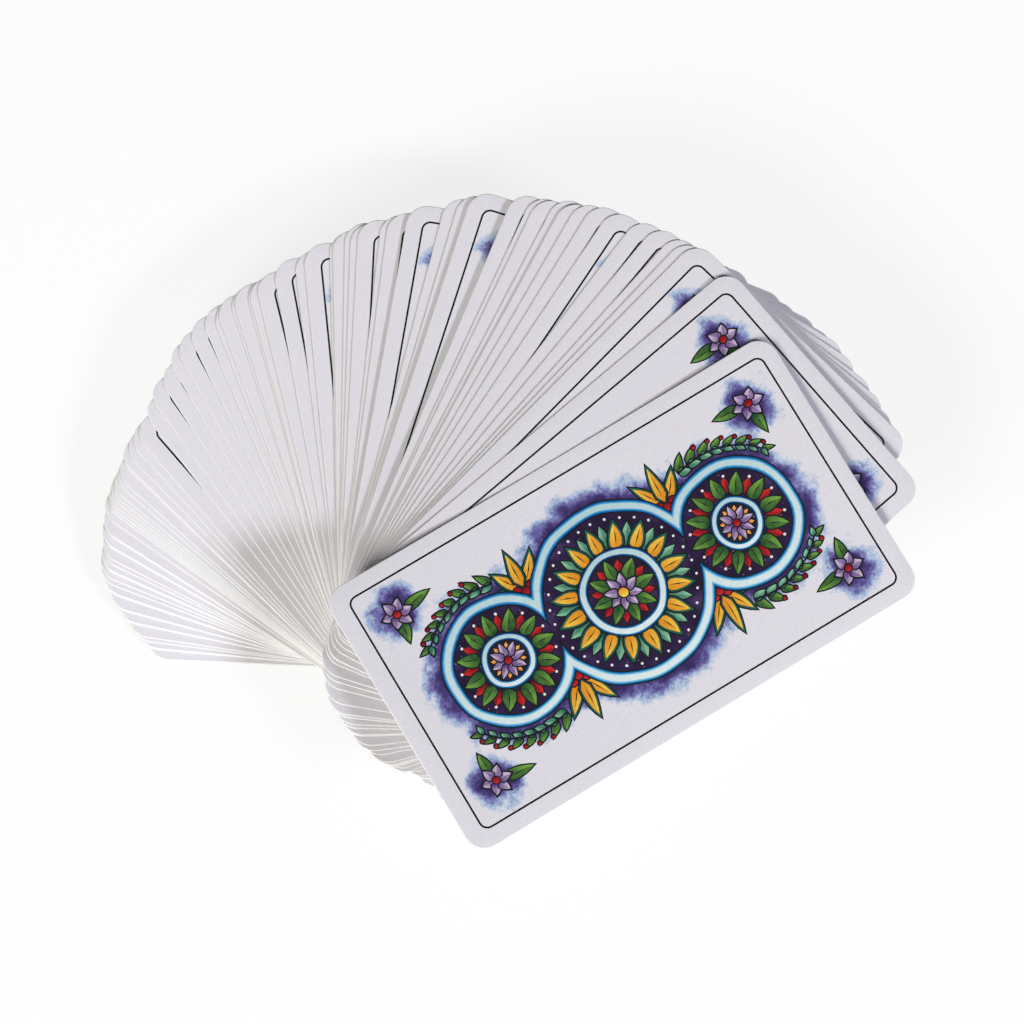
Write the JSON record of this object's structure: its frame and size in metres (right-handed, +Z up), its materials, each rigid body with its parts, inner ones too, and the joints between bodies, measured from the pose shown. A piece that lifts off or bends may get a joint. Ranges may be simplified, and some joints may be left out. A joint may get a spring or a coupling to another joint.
{
  "type": "tarot card deck",
  "caption": "Deck of tarot cards with rounded corners, fanned out backs up on a table; turning the top card closes the fan into a squared deck.",
  "frame": {"origin": "centre of the bottom card's underside, on the table", "axes": "+Z up out of the table, +X along the bottom card's long side, +Y along its short side, away from the viewer of the picture"},
  "size_m": [0.1926, 0.1551, 0.0291],
  "materials": {
    "card_stock": "satin coated card, white cut edges"
  },
  "bodies": {
    "bottom_card": {"bottom_card": "card_stock"},
    "cards_02_03": {"cards_02_03": "card_stock"},
    "cards_04_05": {"cards_04_05": "card_stock"},
    "cards_06_07": {"cards_06_07": "card_stock"},
    "cards_08_09": {"cards_08_09": "card_stock"},
    "cards_10_11": {"cards_10_11": "card_stock"},
    "cards_12_13": {"cards_12_13": "card_stock"},
    "cards_14_15": {"cards_14_15": "card_stock"},
    "cards_16_17": {"cards_16_17": "card_stock"},
    "cards_18_19": {"cards_18_19": "card_stock"},
    "cards_20_21": {"cards_20_21": "card_stock"},
    "card_22": {"card_22": "card_stock"},
    "cards_23_24": {"cards_23_24": "card_stock"},
    "cards_25_26": {"cards_25_26": "card_stock"},
    "cards_27_28": {"cards_27_28": "card_stock"},
    "cards_29_30": {"cards_29_30": "card_stock"},
    "cards_31_32": {"cards_31_32": "card_stock"},
    "card_33": {"card_33": "card_stock"},
    "card_34": {"card_34": "card_stock"},
    "card_35": {"card_35": "card_stock"},
    "card_36": {"card_36": "card_stock"},
    "card_37": {"card_37": "card_stock"},
    "card_38": {"card_38": "card_stock"},
    "card_39": {"card_39": "card_stock"},
    "card_40": {"card_40": "card_stock"},
    "card_41": {"card_41": "card_stock"},
    "card_42": {"card_42": "card_stock"},
    "card_43": {"card_43": "card_stock"},
    "card_44": {"card_44": "card_stock"},
    "cards_45_46": {"cards_45_46": "card_stock"},
    "cards_47_48": {"cards_47_48": "card_stock"},
    "card_49": {"card_49": "card_stock"},
    "card_50": {"card_50": "card_stock"},
    "card_51": {"card_51": "card_stock"},
    "card_52": {"card_52": "card_stock"},
    "cards_53_54": {"cards_53_54": "card_stock"},
    "card_55": {"card_55": "card_stock"},
    "card_56": {"card_56": "card_stock"},
    "card_57": {"card_57": "card_stock"},
    "card_58": {"card_58": "card_stock"},
    "card_59": {"card_59": "card_stock"},
    "card_60": {"card_60": "card_stock"},
    "card_61": {"card_61": "card_stock"},
    "card_62": {"card_62": "card_stock"},
    "card_63": {"card_63": "card_stock"},
    "card_64": {"card_64": "card_stock"},
    "card_65": {"card_65": "card_stock"},
    "card_66": {"card_66": "card_stock"},
    "card_67": {"card_67": "card_stock"},
    "card_68": {"card_68": "card_stock"},
    "card_69": {"card_69": "card_stock"},
    "card_70": {"card_70": "card_stock"},
    "card_71": {"card_71": "card_stock"},
    "card_72": {"card_72": "card_stock"},
    "card_73": {"card_73": "card_stock"},
    "card_74": {"card_74": "card_stock"},
    "card_75": {"card_75": "card_stock"},
    "card_76": {"card_76": "card_stock"},
    "card_77": {"card_77": "card_stock"},
    "top_card": {"top_card": "card_stock"}
  },
  "joints": [
    {"name": "fan_turn", "type": "hinge", "parent": "bottom_card", "child": "top_card", "pos_m": [0.02381, -0.01622, 0.0288], "axis": [0, 0, 1], "range_deg": [0, 146.5]},
    {"name": "cards_02_03_turn", "type": "hinge", "parent": "bottom_card", "child": "cards_02_03", "pos_m": [-0.00813, 0.01821, 0.00035], "axis": [0, 0, 1], "range_deg": [0, 2.85]},
    {"name": "cards_04_05_turn", "type": "hinge", "parent": "bottom_card", "child": "cards_04_05", "pos_m": [-0.00856, 0.01789, 0.00105], "axis": [0, 0, 1], "range_deg": [0, 5.3]},
    {"name": "cards_06_07_turn", "type": "hinge", "parent": "bottom_card", "child": "cards_06_07", "pos_m": [-0.00928, 0.01717, 0.00175], "axis": [0, 0, 1], "range_deg": [0, 9.35]},
    {"name": "cards_08_09_turn", "type": "hinge", "parent": "bottom_card", "child": "cards_08_09", "pos_m": [-0.00976, 0.01751, 0.00245], "axis": [0, 0, 1], "range_deg": [0, 12.45]},
    {"name": "cards_10_11_turn", "type": "hinge", "parent": "bottom_card", "child": "cards_10_11", "pos_m": [-0.01009, 0.01515, 0.00315], "axis": [0, 0, 1], "range_deg": [0, 16.15]},
    {"name": "cards_12_13_turn", "type": "hinge", "parent": "bottom_card", "child": "cards_12_13", "pos_m": [-0.00934, 0.01444, 0.00385], "axis": [0, 0, 1], "range_deg": [0, 19]},
    {"name": "cards_14_15_turn", "type": "hinge", "parent": "bottom_card", "child": "cards_14_15", "pos_m": [-0.00929, 0.01106, 0.00455], "axis": [0, 0, 1], "range_deg": [0, 21.45]},
    {"name": "cards_16_17_turn", "type": "hinge", "parent": "bottom_card", "child": "cards_16_17", "pos_m": [-0.00932, 0.00826, 0.00525], "axis": [0, 0, 1], "range_deg": [0, 23.8]},
    {"name": "cards_18_19_turn", "type": "hinge", "parent": "bottom_card", "child": "cards_18_19", "pos_m": [-0.00891, 0.0071, 0.00595], "axis": [0, 0, 1], "range_deg": [0, 27.15]},
    {"name": "cards_20_21_turn", "type": "hinge", "parent": "bottom_card", "child": "cards_20_21", "pos_m": [-0.00886, 0.00548, 0.00665], "axis": [0, 0, 1], "range_deg": [0, 29.65]},
    {"name": "card_22_turn", "type": "hinge", "parent": "bottom_card", "child": "card_22", "pos_m": [-0.00704, 0.00532, 0.00735], "axis": [0, 0, 1], "range_deg": [0, 32.1]},
    {"name": "cards_23_24_turn", "type": "hinge", "parent": "bottom_card", "child": "cards_23_24", "pos_m": [-0.00619, 0.00369, 0.0077], "axis": [0, 0, 1], "range_deg": [0, 33.8]},
    {"name": "cards_25_26_turn", "type": "hinge", "parent": "bottom_card", "child": "cards_25_26", "pos_m": [-0.00537, 0.00337, 0.0084], "axis": [0, 0, 1], "range_deg": [0, 35.05]},
    {"name": "cards_27_28_turn", "type": "hinge", "parent": "bottom_card", "child": "cards_27_28", "pos_m": [-0.00475, 0.00219, 0.0091], "axis": [0, 0, 1], "range_deg": [0, 36.5]},
    {"name": "cards_29_30_turn", "type": "hinge", "parent": "bottom_card", "child": "cards_29_30", "pos_m": [-0.00372, 0.00125, 0.0098], "axis": [0, 0, 1], "range_deg": [0, 38.6]},
    {"name": "cards_31_32_turn", "type": "hinge", "parent": "bottom_card", "child": "cards_31_32", "pos_m": [-0.0021, 0.00092, 0.0105], "axis": [0, 0, 1], "range_deg": [0, 41.55]},
    {"name": "card_33_turn", "type": "hinge", "parent": "bottom_card", "child": "card_33", "pos_m": [-0.00152, 0.00011, 0.0112], "axis": [0, 0, 1], "range_deg": [0, 43.2]},
    {"name": "card_34_turn", "type": "hinge", "parent": "bottom_card", "child": "card_34", "pos_m": [-0.00087, -0.00045, 0.01155], "axis": [0, 0, 1], "range_deg": [0, 44.9]},
    {"name": "card_35_turn", "type": "hinge", "parent": "bottom_card", "child": "card_35", "pos_m": [-0.00025, -0.00137, 0.0119], "axis": [0, 0, 1], "range_deg": [0, 46.3]},
    {"name": "card_36_turn", "type": "hinge", "parent": "bottom_card", "child": "card_36", "pos_m": [0.00231, -0.00111, 0.01225], "axis": [0, 0, 1], "range_deg": [0, 49.3]},
    {"name": "card_37_turn", "type": "hinge", "parent": "bottom_card", "child": "card_37", "pos_m": [0.00418, -0.00035, 0.0126], "axis": [0, 0, 1], "range_deg": [0, 51.4]},
    {"name": "card_38_turn", "type": "hinge", "parent": "bottom_card", "child": "card_38", "pos_m": [0.00572, -0.00078, 0.01295], "axis": [0, 0, 1], "range_deg": [0, 54.1]},
    {"name": "card_39_turn", "type": "hinge", "parent": "bottom_card", "child": "card_39", "pos_m": [0.00767, 0.00013, 0.0133], "axis": [0, 0, 1], "range_deg": [0, 56.7]},
    {"name": "card_40_turn", "type": "hinge", "parent": "bottom_card", "child": "card_40", "pos_m": [0.00848, -0.00008, 0.01365], "axis": [0, 0, 1], "range_deg": [0, 58.5]},
    {"name": "card_41_turn", "type": "hinge", "parent": "bottom_card", "child": "card_41", "pos_m": [0.00954, -0.00041, 0.014], "axis": [0, 0, 1], "range_deg": [0, 61.3]},
    {"name": "card_42_turn", "type": "hinge", "parent": "bottom_card", "child": "card_42", "pos_m": [0.01023, -0.00117, 0.01435], "axis": [0, 0, 1], "range_deg": [0, 64]},
    {"name": "card_43_turn", "type": "hinge", "parent": "bottom_card", "child": "card_43", "pos_m": [0.01021, -0.00237, 0.0147], "axis": [0, 0, 1], "range_deg": [0, 65.8]},
    {"name": "card_44_turn", "type": "hinge", "parent": "bottom_card", "child": "card_44", "pos_m": [0.01073, -0.00207, 0.01505], "axis": [0, 0, 1], "range_deg": [0, 66.6]},
    {"name": "cards_45_46_turn", "type": "hinge", "parent": "bottom_card", "child": "cards_45_46", "pos_m": [0.01135, -0.00272, 0.0154], "axis": [0, 0, 1], "range_deg": [0, 69.25]},
    {"name": "cards_47_48_turn", "type": "hinge", "parent": "bottom_card", "child": "cards_47_48", "pos_m": [0.01162, -0.00383, 0.0161], "axis": [0, 0, 1], "range_deg": [0, 72]},
    {"name": "card_49_turn", "type": "hinge", "parent": "bottom_card", "child": "card_49", "pos_m": [0.01203, -0.00403, 0.0168], "axis": [0, 0, 1], "range_deg": [0, 73.5]},
    {"name": "card_50_turn", "type": "hinge", "parent": "bottom_card", "child": "card_50", "pos_m": [0.01307, -0.00412, 0.01715], "axis": [0, 0, 1], "range_deg": [0, 76.6]},
    {"name": "card_51_turn", "type": "hinge", "parent": "bottom_card", "child": "card_51", "pos_m": [0.01358, -0.00487, 0.0175], "axis": [0, 0, 1], "range_deg": [0, 80]},
    {"name": "card_52_turn", "type": "hinge", "parent": "bottom_card", "child": "card_52", "pos_m": [0.01416, -0.00474, 0.01785], "axis": [0, 0, 1], "range_deg": [0, 81.5]},
    {"name": "cards_53_54_turn", "type": "hinge", "parent": "bottom_card", "child": "cards_53_54", "pos_m": [0.01515, -0.00507, 0.0182], "axis": [0, 0, 1], "range_deg": [0, 85.85]},
    {"name": "card_55_turn", "type": "hinge", "parent": "bottom_card", "child": "card_55", "pos_m": [0.0159, -0.0049, 0.0189], "axis": [0, 0, 1], "range_deg": [0, 88]},
    {"name": "card_56_turn", "type": "hinge", "parent": "bottom_card", "child": "card_56", "pos_m": [0.01575, -0.00531, 0.01925], "axis": [0, 0, 1], "range_deg": [0, 88.9]},
    {"name": "card_57_turn", "type": "hinge", "parent": "bottom_card", "child": "card_57", "pos_m": [0.0161, -0.00531, 0.0196], "axis": [0, 0, 1], "range_deg": [0, 90]},
    {"name": "card_58_turn", "type": "hinge", "parent": "bottom_card", "child": "card_58", "pos_m": [0.01665, -0.00581, 0.01995], "axis": [0, 0, 1], "range_deg": [0, 93.3]},
    {"name": "card_59_turn", "type": "hinge", "parent": "bottom_card", "child": "card_59", "pos_m": [0.0169, -0.00587, 0.0203], "axis": [0, 0, 1], "range_deg": [0, 94.3]},
    {"name": "card_60_turn", "type": "hinge", "parent": "bottom_card", "child": "card_60", "pos_m": [0.0178, -0.00584, 0.0211], "axis": [0, 0, 1], "range_deg": [0, 97.1]},
    {"name": "card_61_turn", "type": "hinge", "parent": "bottom_card", "child": "card_61", "pos_m": [0.01919, -0.00618, 0.02145], "axis": [0, 0, 1], "range_deg": [0, 101.9]},
    {"name": "card_62_turn", "type": "hinge", "parent": "bottom_card", "child": "card_62", "pos_m": [0.01982, -0.00617, 0.0218], "axis": [0, 0, 1], "range_deg": [0, 103.7]},
    {"name": "card_63_turn", "type": "hinge", "parent": "bottom_card", "child": "card_63", "pos_m": [0.02027, -0.00621, 0.0226], "axis": [0, 0, 1], "range_deg": [0, 105.2]},
    {"name": "card_64_turn", "type": "hinge", "parent": "bottom_card", "child": "card_64", "pos_m": [0.02163, -0.00745, 0.02375], "axis": [0, 0, 1], "range_deg": [0, 109.9]},
    {"name": "card_65_turn", "type": "hinge", "parent": "bottom_card", "child": "card_65", "pos_m": [0.02214, -0.00807, 0.0241], "axis": [0, 0, 1], "range_deg": [0, 112]},
    {"name": "card_66_turn", "type": "hinge", "parent": "bottom_card", "child": "card_66", "pos_m": [0.0222, -0.00834, 0.02445], "axis": [0, 0, 1], "range_deg": [0, 112.7]},
    {"name": "card_67_turn", "type": "hinge", "parent": "bottom_card", "child": "card_67", "pos_m": [0.02312, -0.0086, 0.0248], "axis": [0, 0, 1], "range_deg": [0, 114.7]},
    {"name": "card_68_turn", "type": "hinge", "parent": "bottom_card", "child": "card_68", "pos_m": [0.0231, -0.00903, 0.0253], "axis": [0, 0, 1], "range_deg": [0, 115.7]},
    {"name": "card_69_turn", "type": "hinge", "parent": "bottom_card", "child": "card_69", "pos_m": [0.02376, -0.00924, 0.02565], "axis": [0, 0, 1], "range_deg": [0, 117.2]},
    {"name": "card_70_turn", "type": "hinge", "parent": "bottom_card", "child": "card_70", "pos_m": [0.0243, -0.00953, 0.026], "axis": [0, 0, 1], "range_deg": [0, 118.8]},
    {"name": "card_71_turn", "type": "hinge", "parent": "bottom_card", "child": "card_71", "pos_m": [0.02454, -0.01011, 0.02635], "axis": [0, 0, 1], "range_deg": [0, 121]},
    {"name": "card_72_turn", "type": "hinge", "parent": "bottom_card", "child": "card_72", "pos_m": [0.02506, -0.0107, 0.0267], "axis": [0, 0, 1], "range_deg": [0, 124.4]},
    {"name": "card_73_turn", "type": "hinge", "parent": "bottom_card", "child": "card_73", "pos_m": [0.02545, -0.01111, 0.02705], "axis": [0, 0, 1], "range_deg": [0, 126.8]},
    {"name": "card_74_turn", "type": "hinge", "parent": "bottom_card", "child": "card_74", "pos_m": [0.02572, -0.0116, 0.0274], "axis": [0, 0, 1], "range_deg": [0, 129.3]},
    {"name": "card_75_turn", "type": "hinge", "parent": "bottom_card", "child": "card_75", "pos_m": [0.02581, -0.01188, 0.02775], "axis": [0, 0, 1], "range_deg": [0, 130.6]},
    {"name": "card_76_turn", "type": "hinge", "parent": "bottom_card", "child": "card_76", "pos_m": [0.02622, -0.01198, 0.0281], "axis": [0, 0, 1], "range_deg": [0, 131.8]},
    {"name": "card_77_turn", "type": "hinge", "parent": "bottom_card", "child": "card_77", "pos_m": [0.02599, -0.01336, 0.02845], "axis": [0, 0, 1], "range_deg": [0, 137.1]}
  ],
  "couplings": [
    {"joint": "cards_02_03_turn", "follows": "fan_turn", "ratio": 0.019454},
    {"joint": "cards_04_05_turn", "follows": "fan_turn", "ratio": 0.036177},
    {"joint": "cards_06_07_turn", "follows": "fan_turn", "ratio": 0.063823},
    {"joint": "cards_08_09_turn", "follows": "fan_turn", "ratio": 0.084983},
    {"joint": "cards_10_11_turn", "follows": "fan_turn", "ratio": 0.11024},
    {"joint": "cards_12_13_turn", "follows": "fan_turn", "ratio": 0.12969},
    {"joint": "cards_14_15_turn", "follows": "fan_turn", "ratio": 0.14642},
    {"joint": "cards_16_17_turn", "follows": "fan_turn", "ratio": 0.16246},
    {"joint": "cards_18_19_turn", "follows": "fan_turn", "ratio": 0.18532},
    {"joint": "cards_20_21_turn", "follows": "fan_turn", "ratio": 0.20239},
    {"joint": "card_22_turn", "follows": "fan_turn", "ratio": 0.21911},
    {"joint": "cards_23_24_turn", "follows": "fan_turn", "ratio": 0.23072},
    {"joint": "cards_25_26_turn", "follows": "fan_turn", "ratio": 0.23925},
    {"joint": "cards_27_28_turn", "follows": "fan_turn", "ratio": 0.24915},
    {"joint": "cards_29_30_turn", "follows": "fan_turn", "ratio": 0.26348},
    {"joint": "cards_31_32_turn", "follows": "fan_turn", "ratio": 0.28362},
    {"joint": "card_33_turn", "follows": "fan_turn", "ratio": 0.29488},
    {"joint": "card_34_turn", "follows": "fan_turn", "ratio": 0.30648},
    {"joint": "card_35_turn", "follows": "fan_turn", "ratio": 0.31604},
    {"joint": "card_36_turn", "follows": "fan_turn", "ratio": 0.33652},
    {"joint": "card_37_turn", "follows": "fan_turn", "ratio": 0.35085},
    {"joint": "card_38_turn", "follows": "fan_turn", "ratio": 0.36928},
    {"joint": "card_39_turn", "follows": "fan_turn", "ratio": 0.38703},
    {"joint": "card_40_turn", "follows": "fan_turn", "ratio": 0.39932},
    {"joint": "card_41_turn", "follows": "fan_turn", "ratio": 0.41843},
    {"joint": "card_42_turn", "follows": "fan_turn", "ratio": 0.43686},
    {"joint": "card_43_turn", "follows": "fan_turn", "ratio": 0.44915},
    {"joint": "card_44_turn", "follows": "fan_turn", "ratio": 0.45461},
    {"joint": "cards_45_46_turn", "follows": "fan_turn", "ratio": 0.4727},
    {"joint": "cards_47_48_turn", "follows": "fan_turn", "ratio": 0.49147},
    {"joint": "card_49_turn", "follows": "fan_turn", "ratio": 0.50171},
    {"joint": "card_50_turn", "follows": "fan_turn", "ratio": 0.52287},
    {"joint": "card_51_turn", "follows": "fan_turn", "ratio": 0.54607},
    {"joint": "card_52_turn", "follows": "fan_turn", "ratio": 0.55631},
    {"joint": "cards_53_54_turn", "follows": "fan_turn", "ratio": 0.58601},
    {"joint": "card_55_turn", "follows": "fan_turn", "ratio": 0.60068},
    {"joint": "card_56_turn", "follows": "fan_turn", "ratio": 0.60683},
    {"joint": "card_57_turn", "follows": "fan_turn", "ratio": 0.61433},
    {"joint": "card_58_turn", "follows": "fan_turn", "ratio": 0.63686},
    {"joint": "card_59_turn", "follows": "fan_turn", "ratio": 0.64369},
    {"joint": "card_60_turn", "follows": "fan_turn", "ratio": 0.6628},
    {"joint": "card_61_turn", "follows": "fan_turn", "ratio": 0.69556},
    {"joint": "card_62_turn", "follows": "fan_turn", "ratio": 0.70785},
    {"joint": "card_63_turn", "follows": "fan_turn", "ratio": 0.71809},
    {"joint": "card_64_turn", "follows": "fan_turn", "ratio": 0.75017},
    {"joint": "card_65_turn", "follows": "fan_turn", "ratio": 0.76451},
    {"joint": "card_66_turn", "follows": "fan_turn", "ratio": 0.76928},
    {"joint": "card_67_turn", "follows": "fan_turn", "ratio": 0.78294},
    {"joint": "card_68_turn", "follows": "fan_turn", "ratio": 0.78976},
    {"joint": "card_69_turn", "follows": "fan_turn", "ratio": 0.8},
    {"joint": "card_70_turn", "follows": "fan_turn", "ratio": 0.81092},
    {"joint": "card_71_turn", "follows": "fan_turn", "ratio": 0.82594},
    {"joint": "card_72_turn", "follows": "fan_turn", "ratio": 0.84915},
    {"joint": "card_73_turn", "follows": "fan_turn", "ratio": 0.86553},
    {"joint": "card_74_turn", "follows": "fan_turn", "ratio": 0.88259},
    {"joint": "card_75_turn", "follows": "fan_turn", "ratio": 0.89147},
    {"joint": "card_76_turn", "follows": "fan_turn", "ratio": 0.89966},
    {"joint": "card_77_turn", "follows": "fan_turn", "ratio": 0.93584}
  ]
}
